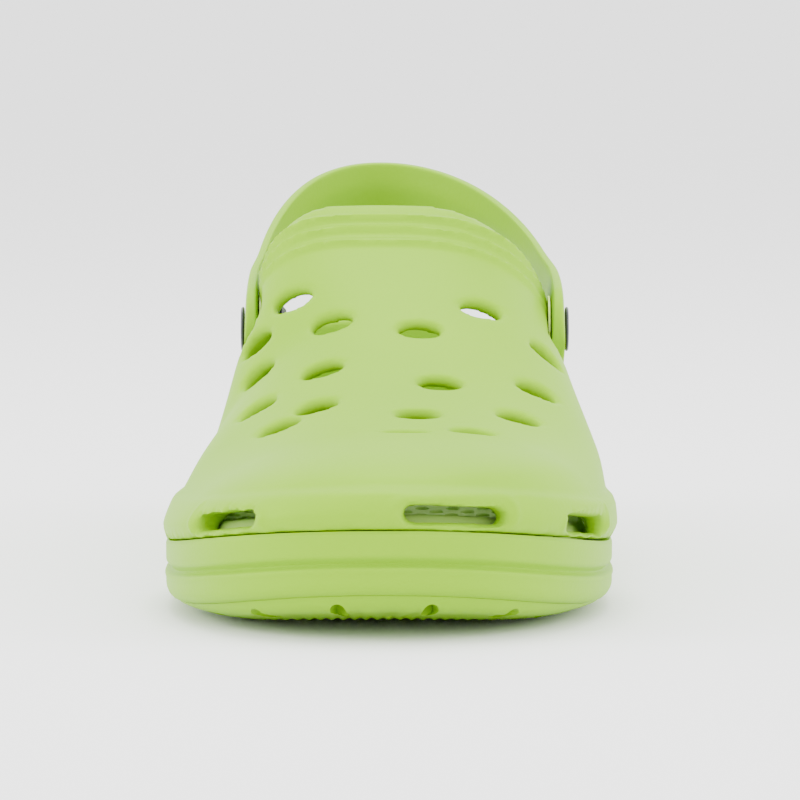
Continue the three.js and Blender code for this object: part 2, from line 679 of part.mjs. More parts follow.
for (const stack of pivotStacks) {
  const at = (x) => [x, PIVOT_Y, PIVOT_HEIGHT];
  clog.add(place(`rivet_stud_${stack.name}`, rivetStud(stack), rivetPlastic, at(stack.head)));
  clog.add(place(`rivet_cap_${stack.name}`, rivetCap(stack), rivetPlastic, at(stack.cap)));
  clog.add(place(`spacer_washer_${stack.name}`, washer(stack), clearPlastic, at(stack.washer)));
}

export default clog;
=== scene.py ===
"""A left garden clog, moulded in closed-cell foam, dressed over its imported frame.

Lengths in the classes below are in millimetres, and every mesh is written in metres. The toe points
towards -Y, the big-toe side is at -X and the ground is at z = 0.
"""

import json
import logging
import math
from dataclasses import dataclass
from enum import Enum
from functools import lru_cache
from typing import Callable, Optional, Sequence

import bpy
from mathutils import Matrix, Vector


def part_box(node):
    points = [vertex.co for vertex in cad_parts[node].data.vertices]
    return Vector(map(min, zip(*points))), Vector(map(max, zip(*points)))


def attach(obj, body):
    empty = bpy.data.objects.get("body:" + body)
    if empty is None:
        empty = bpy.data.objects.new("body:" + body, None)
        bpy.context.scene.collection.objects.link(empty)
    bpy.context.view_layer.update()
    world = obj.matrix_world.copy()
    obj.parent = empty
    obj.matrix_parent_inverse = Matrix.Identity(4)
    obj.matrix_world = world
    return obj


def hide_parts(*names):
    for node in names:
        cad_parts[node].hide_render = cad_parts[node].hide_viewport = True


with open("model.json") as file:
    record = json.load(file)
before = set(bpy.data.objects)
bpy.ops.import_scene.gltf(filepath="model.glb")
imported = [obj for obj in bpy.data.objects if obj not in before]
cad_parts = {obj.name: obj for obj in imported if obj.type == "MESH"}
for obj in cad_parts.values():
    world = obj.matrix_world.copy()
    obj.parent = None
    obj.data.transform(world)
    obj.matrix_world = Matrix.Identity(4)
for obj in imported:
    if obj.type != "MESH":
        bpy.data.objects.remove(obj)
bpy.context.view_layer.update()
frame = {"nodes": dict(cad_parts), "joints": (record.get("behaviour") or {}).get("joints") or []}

MM = 0.001
log = logging.getLogger("clog")

Point = tuple[float, float]
Placing = Callable[[float, float], Vector]
Height = Callable[[float], float]


class Side(Enum):
    """The two sides of the foot, with the sign of x on each."""

    MEDIAL = -1
    LATERAL = 1


# ---- small geometry helpers ----------------------------------------------------------------------------


def clamp(t: float) -> float:
    """Returns t kept between 0 and 1."""
    return min(1.0, max(0.0, t))


def ease(t: float) -> float:
    """Returns a smooth step from 0 to 1 as t goes from 0 to 1."""
    return clamp(t) ** 2 * (3 - 2 * clamp(t))


def between(low: float, high: float, t: float) -> float:
    """Returns the value a share t of the way from low to high."""
    return low + (high - low) * t


def round_off(t: float, power: float) -> float:
    """Returns the height of a superellipse's quarter at t, from 1 down to 0."""
    return max(0.0, 1 - clamp(t) ** power) ** (1 / power)


def bump(distance: float, width: float) -> float:
    """Returns a soft ridge's height, 1 on its crest and near 0 one width away."""
    return math.exp(-((distance / width) ** 2) * 2.5)


def bezier(start: Point, pull_out: Point, pull_in: Point, end: Point, steps: int) -> list[Point]:
    """Returns points along a cubic curve, without its first point.

    Args:
        start: Where the curve starts.
        pull_out: The handle at the start.
        pull_in: The handle at the end.
        end: Where the curve ends.
        steps: How many points to return.

    Returns:
        The points, the last of them the end.
    """
    points = []
    for k in range(1, steps + 1):
        t = k / steps
        weights = ((1 - t) ** 3, 3 * t * (1 - t) ** 2, 3 * t * t * (1 - t), t**3)
        corners = (start, pull_out, pull_in, end)
        points.append(tuple(sum(w * c[axis] for w, c in zip(weights, corners)) for axis in (0, 1)))
    return points


# ---- the shoe's form -----------------------------------------------------------------------------------


@dataclass(frozen=True)
class ShoeForm:
    """The foot-shaped form that the upper, the sole layers and the footbed share."""

    toe_y: float
    heel_y: float
    ball_width: float
    waist_width: float = 86.0
    heel_width: float = 82.0
    ball_from_toe: float = 86.0
    waist_from_toe: float = 172.0
    heel_from_back: float = 46.0
    plan_roundness: float = 2.3
    toe_shift: float = -1.0
    waist_shift: float = 6.0
    heel_shift: float = -2.0
    toe_spring: float = 8.5
    heel_spring: float = 3.0
    flat_from_toe: float = 62.0
    flat_from_back: float = 24.0
    joint_at_toe: float = 27.8
    joint_at_ball: float = 17.0
    joint_at_heel: float = 29.0
    joint_low_from_toe: float = 84.0
    seat_gap: float = 0.3
    dome_top: float = 47.3
    dome_from_toe: float = 49.0
    dome_roundness: float = 2.6
    collar_top: float = 99.2
    collar_from_toe: float = 156.0
    instep_sweep: float = 1.75
    ridge_shift: float = -7.0
    arch_blend: float = 42.0
    vamp_roundness: tuple[float, float] = (1.75, 2.7)
    collar_roundness: tuple[float, float] = (3.6, 2.6)

    @property
    def ball_y(self) -> float:
        """Where the shoe is widest."""
        return self.toe_y + self.ball_from_toe

    @property
    def waist_y(self) -> float:
        """Where the arch is."""
        return self.toe_y + self.waist_from_toe

    @property
    def round_heel_y(self) -> float:
        """Where the heel starts to round."""
        return self.heel_y - self.heel_from_back

    @property
    def dome_y(self) -> float:
        """The back of the toe box's dome."""
        return self.toe_y + self.dome_from_toe

    @property
    def collar_y(self) -> float:
        """The instep's edge, at the top of the foot opening."""
        return self.toe_y + self.collar_from_toe

    def middle_x(self, y: float) -> float:
        """Returns x of the outline's bent middle line at y."""
        if y < self.ball_y:
            return self.toe_shift * ease((self.ball_y - y) / (self.ball_y - self.toe_y))
        if y < self.waist_y:
            return self.waist_shift * ease((y - self.ball_y) / (self.waist_y - self.ball_y))
        share = ease((y - self.waist_y) / (self.round_heel_y - self.waist_y))
        return between(self.waist_shift, self.heel_shift, share)

    def half_width(self, y: float, inset: float = 0.0) -> float:
        """Returns half the outline's width at y, for an outline moved inwards by inset."""
        if y < self.ball_y:
            t = (self.ball_y - y) / (self.ball_y - self.toe_y - inset)
            return (self.ball_width / 2 - inset) * round_off(t, self.plan_roundness)
        if y < self.waist_y:
            share = ease((y - self.ball_y) / (self.waist_y - self.ball_y))
            return between(self.ball_width, self.waist_width, share) / 2 - inset
        if y < self.round_heel_y:
            share = ease((y - self.waist_y) / (self.round_heel_y - self.waist_y))
            return between(self.waist_width, self.heel_width, share) / 2 - inset
        t = (y - self.round_heel_y) / (self.heel_y - inset - self.round_heel_y)
        return (self.heel_width / 2 - inset) * round_off(t, self.plan_roundness)

    def ground_z(self, y: float) -> float:
        """Returns the height of the tread's underside at y."""
        toe = clamp((self.toe_y + self.flat_from_toe - y) / self.flat_from_toe)
        heel = clamp((y - self.heel_y + self.flat_from_back) / self.flat_from_back)
        return self.toe_spring * toe**2 + self.heel_spring * heel**2

    def joint_z(self, y: float) -> float:
        """Returns the height of the line where the upper meets the sole unit."""
        low_y = self.toe_y + self.joint_low_from_toe
        if y < low_y:
            share = ((low_y - y) / self.joint_low_from_toe) ** 1.6
            return between(self.joint_at_ball, self.joint_at_toe, share)
        share = ease((y - low_y) / (self.heel_y - low_y))
        return between(self.joint_at_ball, self.joint_at_heel, share)

    def ridge_z(self, y: float, inset: float = 0.0) -> float:
        """Returns the height of the upper's ridge line at y."""
        if y < self.dome_y:
            t = (self.dome_y - y) / (self.dome_from_toe - inset)
            return between(self.joint_z(y), self.dome_top - inset, round_off(t, self.dome_roundness))
        climb = clamp((y - self.dome_y) / (self.collar_y - self.dome_y)) ** self.instep_sweep
        top = between(self.dome_top, self.collar_top, climb) - inset
        t = (y - self.round_heel_y) / (self.heel_y - inset - self.round_heel_y)
        return between(self.joint_z(y), top, round_off(t, 9))

    def ridge_x(self, y: float) -> float:
        """Returns x of the upper's ridge line at y."""
        return self.middle_x(y) + self.ridge_shift * ease((y - self.dome_y) / (self.collar_y - self.dome_y))

    def upper_point(self, y: float, degrees: float, inset: float = 0.0, drop: float = 0.0) -> Vector:
        """Finds a point of the upper.

        Args:
            y: The station along the foot.
            degrees: The arch angle, from 0 on the big-toe side to 180 on the little-toe side.
            inset: How far the surface is moved inwards.
            drop: How far its base reaches below the joint line.

        Returns:
            The point, in millimetres.
        """
        angle = math.radians(degrees)
        side, place = (-1, 0) if degrees < 90 else (1, 1)
        blend = ease((y - self.collar_y + self.arch_blend) / self.arch_blend)
        power = between(self.vamp_roundness[place], self.collar_roundness[place], blend)
        across = abs(math.cos(angle)) ** (2 / power)
        up = abs(math.sin(angle)) ** (2 / power)
        base = self.joint_z(y) + self.seat_gap - drop
        ridge = max(self.ridge_z(y, inset), base)
        edge = self.middle_x(y) + side * self.half_width(y, inset)
        return Vector((between(self.ridge_x(y), edge, across), y, between(base, ridge, up)))

    def upper_frame(self, y: float, degrees: float) -> Matrix:
        """Returns the frame that stands on the upper: x across the foot, z outwards, at the point."""
        step = 0.5
        arch = self.upper_point(y, degrees + step) - self.upper_point(y, degrees - step)
        along = self.upper_point(y + step, degrees) - self.upper_point(y - step, degrees)
        normal = arch.cross(along).normalized()
        across = (Vector((1, 0, 0)) - normal * normal.x).normalized()
        return axes_at(across, normal.cross(across), normal, self.upper_point(y, degrees))

    def toe_edge(self, bearing: float, above_joint: float) -> Vector:
        """Returns a point on the toe's outline, at a bearing in degrees from straight ahead."""
        angle = math.radians(bearing)
        across = abs(math.sin(angle)) ** (2 / self.plan_roundness) * math.copysign(1, bearing)
        ahead = abs(math.cos(angle)) ** (2 / self.plan_roundness)
        y = self.ball_y - ahead * (self.ball_y - self.toe_y)
        x = self.middle_x(y) + across * self.ball_width / 2
        return Vector((x, y, self.joint_z(y) + above_joint))


def axes_at(x_axis: Vector, y_axis: Vector, z_axis: Vector, origin: Vector) -> Matrix:
    """Returns the matrix whose columns are three axes and an origin."""
    return Matrix.Translation(origin) @ Matrix((x_axis, y_axis, z_axis)).transposed().to_4x4()


# ---- modelling helpers ---------------------------------------------------------------------------------


def deselect_all() -> None:
    """Leaves nothing selected, so that the next operator acts on its own piece only."""
    if bpy.context.object and bpy.context.object.mode != "OBJECT":
        bpy.ops.object.mode_set(mode="OBJECT")
    bpy.ops.object.select_all(action="DESELECT")


def pick(piece: bpy.types.Object) -> None:
    """Makes a piece the only selected object and the active one."""
    deselect_all()
    piece.select_set(True)
    bpy.context.view_layer.objects.active = piece


def named(name: str) -> bpy.types.Object:
    """Returns the object just added, under its new name."""
    piece = bpy.context.active_object
    piece.name = name
    piece.data.name = name
    return piece


def weld(piece: bpy.types.Object, gap: float = 0.01) -> None:
    """Merges a piece's doubled points, gap millimetres apart at most, and turns its faces outwards."""
    pick(piece)
    bpy.ops.object.mode_set(mode="EDIT")
    bpy.ops.mesh.select_all(action="SELECT")
    bpy.ops.mesh.remove_doubles(threshold=gap * MM)
    bpy.ops.mesh.dissolve_degenerate(threshold=gap * MM)
    bpy.ops.mesh.normals_make_consistent(inside=False)
    bpy.ops.object.mode_set(mode="OBJECT")


def formed(name: str, columns: int, rows: int, place: Placing) -> bpy.types.Object:
    """Adds a grid and forms it into a closed shape.

    Args:
        name: The piece's name.
        columns: Steps round the shape, whose first and last columns meet.
        rows: Steps along it.
        place: Gives the point, in millimetres, for shares u round and v along.

    Returns:
        The formed piece, welded and facing outwards.
    """
    deselect_all()
    bpy.ops.mesh.primitive_grid_add(x_subdivisions=columns, y_subdivisions=rows, size=1.0)
    piece = named(name)
    shares = [(vertex.co.x + 0.5, vertex.co.y + 0.5) for vertex in piece.data.vertices]
    points: list[float] = []
    for u, v in shares:
        points.extend(place(round(u * columns) / columns, round(v * rows) / rows) * MM)
    piece.data.vertices.foreach_set("co", points)
    weld(piece)
    return piece


def cut(piece: bpy.types.Object, *tools: bpy.types.Object) -> None:
    """Cuts tools out of a piece one after another, and removes them."""
    for tool in tools:
        pick(piece)
        modifier = piece.modifiers.new("cut", "BOOLEAN")
        modifier.operation = "DIFFERENCE"
        modifier.solver = "MANIFOLD"
        modifier.object = tool
        before = len(piece.data.polygons)
        bpy.ops.object.modifier_apply(modifier=modifier.name)
        if piece.modifiers or len(piece.data.polygons) == before:
            log.warning("%s isn't cut by %s", piece.name, tool.name)
            piece.modifiers.clear()
        bpy.data.objects.remove(tool, do_unlink=True)


def smooth_shaded(piece: bpy.types.Object, degrees: float) -> None:
    """Shades a piece smooth up to an angle between faces."""
    pick(piece)
    bpy.ops.object.shade_smooth_by_angle(angle=math.radians(degrees))


def rod(name: str, radius: float, start: Vector, end: Vector, corners: int = 48) -> bpy.types.Object:
    """Adds a round rod between two points, in millimetres, with its place in its mesh."""
    deselect_all()
    along = end - start
    bpy.ops.mesh.primitive_cylinder_add(vertices=corners, radius=radius * MM, depth=along.length * MM)
    piece = named(name)
    turn = Vector((0, 0, 1)).rotation_difference(along).to_matrix().to_4x4()
    piece.data.transform(Matrix.Translation((start + end) / 2 * MM) @ turn)
    return piece


def prism(name: str, outline: Sequence[Point], half_depth: float) -> bpy.types.Object:
    """Adds a body with an outline of (y, z) points, carried half_depth to both sides along x."""
    deselect_all()
    bpy.ops.mesh.primitive_circle_add(vertices=len(outline), radius=MM, fill_type="NGON")
    piece = named(name)
    for vertex, (y, z) in zip(piece.data.vertices, outline):
        vertex.co = Vector((-half_depth, y, z)) * MM
    pick(piece)
    bpy.ops.object.mode_set(mode="EDIT")
    bpy.ops.mesh.select_all(action="SELECT")
    bpy.ops.mesh.extrude_region_move(TRANSFORM_OT_translate={"value": (2 * half_depth * MM, 0, 0)})
    bpy.ops.mesh.select_all(action="SELECT")
    bpy.ops.mesh.normals_make_consistent(inside=False)
    bpy.ops.object.mode_set(mode="OBJECT")
    return piece


def revolved(name: str, profile: Sequence[Point], stretch: Point, corners: int) -> bpy.types.Object:
    """Adds a plug turned about z from (radius, z) points, then grown to an oval.

    Args:
        name: The piece's name.
        profile: Radius and height of each ring, in millimetres, from a point on the axis to another.
        stretch: What is added to the radius along x and along y.
        corners: Points round each ring.

    Returns:
        The closed plug, about the origin.
    """

    def place(u: float, v: float) -> Vector:
        radius, z = profile[round(v * (len(profile) - 1))]
        angle = 2 * math.pi * (u % 1.0)
        grow = [radius + extra if radius > 0 else 0.0 for extra in stretch]
        return Vector((grow[0] * math.cos(angle), grow[1] * math.sin(angle), z))

    return formed(name, corners, len(profile) - 1, place)


# ---- finishes ------------------------------------------------------------------------------------------


def linear(hex_colour: str) -> tuple[float, float, float, float]:
    """Turns an sRGB hex value such as "#c4dc58" into linear red, green, blue and alpha."""
    channels = [int(hex_colour[k : k + 2], 16) / 255 for k in (1, 3, 5)]
    values = [c / 12.92 if c <= 0.04045 else ((c + 0.055) / 1.055) ** 2.4 for c in channels]
    return (*values, 1.0)


def add_node(
    tree: bpy.types.NodeTree,
    kind: str,
    settings: Optional[dict[str, object]] = None,
    links: Optional[dict[str, bpy.types.NodeSocket]] = None,
) -> bpy.types.Node:
    """Adds a node.

    Args:
        tree: The material's node tree.
        kind: The node's type name.
        settings: Values for its properties, or for inputs of that name.
        links: The output that feeds each named input.

    Returns:
        The node.
    """
    node = tree.nodes.new(kind)
    for name, value in (settings or {}).items():
        if name in node.inputs:
            node.inputs[name].default_value = value
        else:
            setattr(node, name, value)
    for name, output in (links or {}).items():
        tree.links.new(output, node.inputs[name])
    return node


@dataclass(frozen=True)
class MouldedFoam:
    """Injection-moulded EVA foam: a soft satin skin with the mould's fine leather-like grain."""

    name: str
    colour: str
    deep_colour: str
    roughness: float = 0.5
    grain: float = 1.1  # mm between grains, drawn a little coarser than the real 0.7 mm so that it shows
    grain_height: float = 0.06  # mm
    sheen_colour: str = "#d2ff6e"  # the skin's own tint in its highlights
    softness: float = 0.08  # share of light that scatters under the skin
    depth: float = 2.5  # mm that it travels there

    def material(self) -> bpy.types.Material:
        """Makes the material."""
        material = bpy.data.materials.new(self.name)
        material.use_nodes = True
        tree = material.node_tree
        shader = tree.nodes["Principled BSDF"]
        shader.inputs["IOR"].default_value = 1.48
        shader.inputs["Specular IOR Level"].default_value = 0.35
        shader.inputs["Specular Tint"].default_value = linear(self.sheen_colour)
        shader.inputs["Subsurface Weight"].default_value = self.softness
        shader.inputs["Subsurface Radius"].default_value = (0.8, 1.0, 0.25)
        shader.inputs["Subsurface Scale"].default_value = self.depth * MM
        shader.inputs["Roughness"].default_value = self.roughness
        place = add_node(tree, "ShaderNodeTexCoord").outputs["Object"]
        # Foam skins vary slowly in tone as the melt cools, over a few centimetres.
        cloud = add_node(tree, "ShaderNodeTexNoise", {"Scale": 28.0, "Detail": 2.0}, {"Vector": place})
        tone = add_node(tree, "ShaderNodeMix", {"data_type": "RGBA"})
        tone.inputs[6].default_value = linear(self.colour)
        tone.inputs[7].default_value = linear(self.deep_colour)
        tree.links.new(cloud.outputs["Fac"], tone.inputs["Factor"])
        tree.links.new(tone.outputs[2], shader.inputs["Base Color"])
        grain = add_node(
            tree,
            "ShaderNodeTexVoronoi",
            {"Scale": 1000 / self.grain, "feature": "SMOOTH_F1", "Smoothness": 0.6},
            {"Vector": place},
        )
        relief = add_node(
            tree,
            "ShaderNodeBump",
            {"Strength": 0.6, "Distance": self.grain_height * MM},
            {"Height": grain.outputs["Distance"]},
        )
        tree.links.new(relief.outputs["Normal"], shader.inputs["Normal"])
        return material


@dataclass(frozen=True)
class MouldedAcetal:
    """Injection-moulded acetal: a hard, slightly waxy plastic with soft highlights."""

    name: str
    colour: str
    roughness: float = 0.32

    def material(self) -> bpy.types.Material:
        """Makes the material."""
        material = bpy.data.materials.new(self.name)
        material.use_nodes = True
        tree = material.node_tree
        shader = tree.nodes["Principled BSDF"]
        shader.inputs["Base Color"].default_value = linear(self.colour)
        shader.inputs["IOR"].default_value = 1.48
        place = add_node(tree, "ShaderNodeTexCoord").outputs["Object"]
        # Handling dulls the skin in soft patches about 4 mm wide.
        wear = add_node(tree, "ShaderNodeTexNoise", {"Scale": 240.0, "Detail": 3.0}, {"Vector": place})
        gloss = add_node(
            tree,
            "ShaderNodeMapRange",
            {"To Min": self.roughness - 0.06, "To Max": self.roughness + 0.08},
            {"Value": wear.outputs["Fac"]},
        )
        tree.links.new(gloss.outputs["Result"], shader.inputs["Roughness"])
        return material


def dress(piece: bpy.types.Object, material: bpy.types.Material) -> None:
    """Gives a piece one material all over."""
    piece.data.materials.clear()
    piece.data.materials.append(material)


@lru_cache(maxsize=None)
def box_of(node: str) -> tuple[Vector, Vector]:
    """Returns a frame node's lowest and highest corners in millimetres."""
    low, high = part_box(node)
    return Vector(low) / MM, Vector(high) / MM


# ---- rivet line ----------------------------------------------------------------------------------------


@dataclass(frozen=True)
class RivetLine:
    """The rivets' common axis and the stack of faces along it, read from the frame."""

    y: float
    z: float
    bore_radius: float = 2.9

    @classmethod
    def from_frame(cls) -> "RivetLine":
        """Reads the axis from the strap's joint."""
        at = next(joint for joint in frame["joints"] if joint["name"] == "strap_pivot")["pos_m"]
        return cls(at[1] / MM, at[2] / MM)

    def reach(self, node: str, side: Side) -> Point:
        """Returns a node's faces along the axis in millimetres, the one nearer the foot first."""
        low, high = box_of(f"{node}_{side.name.lower()}")
        ends = (low.x, high.x)
        return ends if side is Side.LATERAL else (ends[1], ends[0])

    def pad_face(self, side: Side) -> float:
        """Returns x of the upper's flat pad, just under the washer."""
        return self.reach("spacer_washer", side)[0] - side.value * 0.3

    def strap_faces(self, side: Side) -> Point:
        """Returns x of the strap's inner and outer faces at the rivet."""
        low, high = box_of("heel_strap")
        inner = self.reach("spacer_washer", side)[1] + side.value * 0.3
        return (inner, (high if side is Side.LATERAL else low).x)

    def point(self, x: float, back: float = 0.0, up: float = 0.0) -> Vector:
        """Returns a point at x on the axis, or behind and above it."""
        return Vector((x, self.y + back, self.z + up))


# ---- upper ---------------------------------------------------------------------------------------------


@dataclass(frozen=True)
class Hole:
    """An oval breathing hole."""

    before_collar: float
    degrees: float


@dataclass(frozen=True)
class Vent:
    """A slot in the toe band, at a bearing from straight ahead."""

    bearing: float
    length: float


@dataclass
class Upper:
    """The pierced foam upper, from the toe box to the low wall behind the heel."""

    form: ShoeForm
    rivets: RivetLine
    wall: float = 4.0
    hole_size: Point = (11.0, 6.0)
    hole_flare: float = 1.1
    hole_reach: float = 10.0  # how far its cutter runs past the wall
    vent_height: float = 4.3
    vent_above_joint: float = 3.9
    band_height: float = 10.4
    band_step: float = 1.1
    band_hollow: float = 0.9
    vent_rim: float = 0.5
    collar_raise: float = 0.45
    collar_line_width: float = 1.9
    side_wall_top: float = 51.5
    heel_wall_top: float = 58.0
    pad_radius: float = 19.0
    pad_thickness: float = 3.8
    pad_step: float = 12.0
    pad_depth: float = 12.0  # how far the pads' cutters run
    pad_rim: float = 4.0  # how much wider the foam behind a pad is
    cap_seat_radius: float = 8.5
    voxel: float = 1.15
    collar_lines: tuple[Point, ...] = ((7.0, 1.5), (12.4, 1.3), (18.2, 1.2))
    holes: tuple[Hole, ...] = (
        Hole(24, 62),
        Hole(31, 112),
        Hole(26, 44),
        Hole(37, 73),
        Hole(43, 96),
        Hole(34, 136),
        Hole(37, 46),
        Hole(56, 71),
        Hole(67, 99),
        Hole(59, 127),
        Hole(60, 51),
        Hole(75, 69),
        Hole(87, 94),
        Hole(81, 119),
        Hole(80, 58),
        Hole(107, 92),
        Hole(101, 106),
    )
    vents: tuple[Vent, ...] = (Vent(-43, 27), Vent(15, 27.5), Vent(59, 27))

    def body(self, name: str, inset: float, drop: float, around: int, along: int) -> bpy.types.Object:
        """Forms the upper as a closed body, moved inwards by inset and carried down by drop."""
        arch = 0.86  # share of the way round that is the arch; the rest closes the base
        start, end = self.form.toe_y + inset + 0.05, self.form.heel_y - inset - 0.05

        def place(u: float, v: float) -> Vector:
            row = round(v * along)
            y = between(start, end, (1 - math.cos(math.pi * clamp((row - 1) / (along - 2)))) / 2)
            if row in (0, along):
                base = self.form.upper_point(y, 0, inset, drop)
                crest = self.form.upper_point(y, 90, inset, drop)
                return (base + crest) / 2
            if u <= arch:
                return self.form.upper_point(y, 180 * u / arch, inset, drop)
            share = (u - arch) / (1 - arch)
            last = self.form.upper_point(y, 180, inset, drop)
            return last.lerp(self.form.upper_point(y, 0, inset, drop), share)

        return formed(name, around, along, place)

    def top_line(self) -> list[Point]:
        """Returns the foot opening's edge seen from the side, as (y, z) from collar to heel."""
        collar, pivot, heel = self.form.collar_y, self.rivets.y, self.form.heel_y
        side, back = self.side_wall_top, self.heel_wall_top
        first = (collar, self.form.collar_top - 0.6)
        spring = (pivot + 15, 68.0)
        low = (pivot + 56, side)
        line = [first]
        line += bezier(first, (collar + 6, 86), (pivot + 14, 80), spring, 14)
        line += bezier(spring, (pivot + 16, 58), (pivot + 30, side), low, 14)
        line += bezier(low, (pivot + 90, side), (heel - 28, back), (heel + 4, back + 1), 14)
        return line

    def opening(self) -> bpy.types.Object:
        """Makes the body that is cut away above the foot opening."""
        above = self.form.collar_top + 20
        outline = [(self.form.collar_y - 2, above), *self.top_line(), (self.form.heel_y + 4, above)]
        return prism("opening", outline, self.form.ball_width)

    def pads(self, side: Side, start: float, end: float, extra: float = 0.0) -> list[bpy.types.Object]:
        """Makes discs along x, round the rivet and behind it, for the flat where the strap's arm lies."""
        discs = []
        for back in (0.0, self.pad_step):
            ends = [self.rivets.point(x, back, -0.1 * back) for x in (start, end)]
            discs.append(rod("pad", self.pad_radius + extra, *ends, corners=64))
        return discs

    def hole_plug(self, hole: Hole) -> bpy.types.Object:
        """Makes the cutter for one hole: an oval plug that flares at both skins of the wall."""
        flare, wall = self.hole_flare, self.wall
        profile = [
            (0.0, -wall - self.hole_reach),
            (flare * 1.4, -wall - self.hole_reach),
            (flare * 0.8, -wall - 0.6),
            (0.15, -wall + 0.8),
            (0.05, -wall / 2),
            (0.15, -1.5),
            (flare * 0.5, -0.5),
            (flare * 1.0, 0.15),
            (flare * 1.4, 2.5),
            (0.0, 2.5),
        ]
        half = [size / 2 - 0.4 for size in self.hole_size]
        last = len(profile) - 1
        rings = [(radius + 0.4 if 0 < k < last else 0.0, z) for k, (radius, z) in enumerate(profile)]
        plug = revolved("hole", rings, (half[0], half[1]), 40)
        frame_here = self.form.upper_frame(self.form.collar_y - hole.before_collar, hole.degrees)
        return self.placed(plug, frame_here)

    def vent_point(self, vent: Vent, shift: float) -> tuple[Vector, Vector]:
        """Finds a place along a vent.

        Args:
            vent: The vent.
            shift: How far along the toe's outline from the vent's middle, in millimetres.

        Returns:
            The point on the outline and the direction out of the shoe there.
        """
        step = math.copysign(0.5, shift)
        bearing, walked = vent.bearing, 0.0
        here = self.form.toe_edge(bearing, self.vent_above_joint)
        while walked < abs(shift):
            ahead = self.form.toe_edge(bearing + step, self.vent_above_joint)
            length = (ahead - here).length
            share = min(1.0, (abs(shift) - walked) / length)
            here, bearing, walked = here.lerp(ahead, share), bearing + step * share, walked + length
        along = self.form.toe_edge(bearing + 1, 0) - self.form.toe_edge(bearing - 1, 0)
        return here, Vector((-along.y, along.x, 0)).normalized() * -1

    def vent_frame(self, vent: Vent) -> Matrix:
        """Returns the frame of a vent: x along the slot, y up, z out of the shoe."""
        at, outward = self.vent_point(vent, 0.0)
        up = Vector((0, 0, 1))
        return axes_at(up.cross(outward), up, outward, at)

    def vent_plug(self, vent: Vent) -> bpy.types.Object:
        """Makes the cutter for one vent: a round-ended bar, bent round the toe, that flares at the skin."""
        rings = [(0.0, -17.0), (0.2, -17.0), (0.2, -2.0), (0.6, -1.0), (1.4, 0.3), (3.2, 5.0), (0.0, 5.0)]
        straight = vent.length / 2 - self.vent_height / 2
        half = self.vent_height / 2 - 0.4

        def place(u: float, v: float) -> Vector:
            radius, z = rings[round(v * (len(rings) - 1))]
            turn = (u % 1.0) * 4
            quarter, share = int(turn), turn % 1.0
            if quarter % 2:
                sideways, angle = straight * (1 - 2 * share), math.pi / 2
                if quarter == 3:
                    sideways, angle = -sideways, -math.pi / 2
            else:
                sideways = straight if quarter == 0 else -straight
                angle = math.pi * (share - 0.5) + (math.pi if quarter == 2 else 0)
            size = half + radius if radius > 0 else 0.0
            at, outward = self.vent_point(vent, sideways + size * math.cos(angle))
            return at + outward * z + Vector((0, 0, size * math.sin(angle)))

        return formed("vent", 64, len(rings) - 1, place)

    @staticmethod
    def placed(piece: bpy.types.Object, at: Matrix) -> bpy.types.Object:
        """Moves a piece's mesh from the origin to a frame given in millimetres."""
        matrix = at.copy()
        matrix.translation *= MM
        piece.data.transform(matrix)
        piece.data.update()
        return piece

    def collar_relief(self, point: Vector) -> float:
        """Returns how far the collar's raised lines stand out at a point of the outer skin."""
        form = self.form
        if point.y < form.dome_y or point.z < 55:
            return 0.0
        top = clamp((form.collar_top - 0.6 - point.z) / 30)
        before = form.collar_y + 15 * top**0.8 - point.y
        fade = ease((point.z - 62) / 22)
        lines = sum(size * bump(before - at, self.collar_line_width) for at, size in self.collar_lines)
        return fade * (lines + self.collar_raise * ease((self.collar_lines[0][0] - before) / 3))

    def band_relief(self, point: Vector, vent_frames: Sequence[tuple[Vent, Matrix]]) -> float:
        """Returns how far the toe band and the vents' rims stand out at a point of the outer skin."""
        form = self.form
        if point.y > form.ball_y + 40:
            return 0.0
        height = point.z - form.joint_z(point.y)
        fade = ease((form.ball_y + 40 - point.y) / 50)
        step = ease((self.band_height + 0.8 - height) / 1.8) * ease((height - 0.6) / 4)
        hollow = ease((height - self.band_height + 0.4) / 1.4) * ease((self.band_height + 11 - height) / 9)
        lift = fade * (self.band_step * step - self.band_hollow * hollow)
        for vent, at in vent_frames:
            local = at @ point
            if abs(local.z) < 8:
                past = max(0.0, abs(local.x) - (vent.length - self.vent_height) / 2)
                rim = math.hypot(past, local.y) - self.vent_height / 2
                lift += self.vent_rim * bump(rim - 2.1, 1.4) * ease((height - 0.6) / 2)
        return lift

    def raise_details(self, piece: bpy.types.Object) -> None:
        """Moves the outer skin's points out by the relief there."""
        frames = [(vent, self.vent_frame(vent).inverted()) for vent in self.vents]
        points = [vertex.co / MM for vertex in piece.data.vertices]
        normals = [vertex.normal.copy() for vertex in piece.data.vertices]
        moved: list[float] = []
        for point, normal in zip(points, normals):
            across = point.x - self.form.ridge_x(point.y)
            if normal.x * across + normal.z * 30 > 6:
                point = point + normal * self.collar_relief(point)
            outward = Vector((across, min(0.0, point.y - self.form.ball_y), 0)).normalized()
            facing = ease((normal.dot(outward) - 0.35) / 0.35)
            if facing > 0:
                point = point + outward * facing * self.band_relief(point, frames)
            moved.extend(point * MM)
        piece.data.vertices.foreach_set("co", moved)
        piece.data.update()

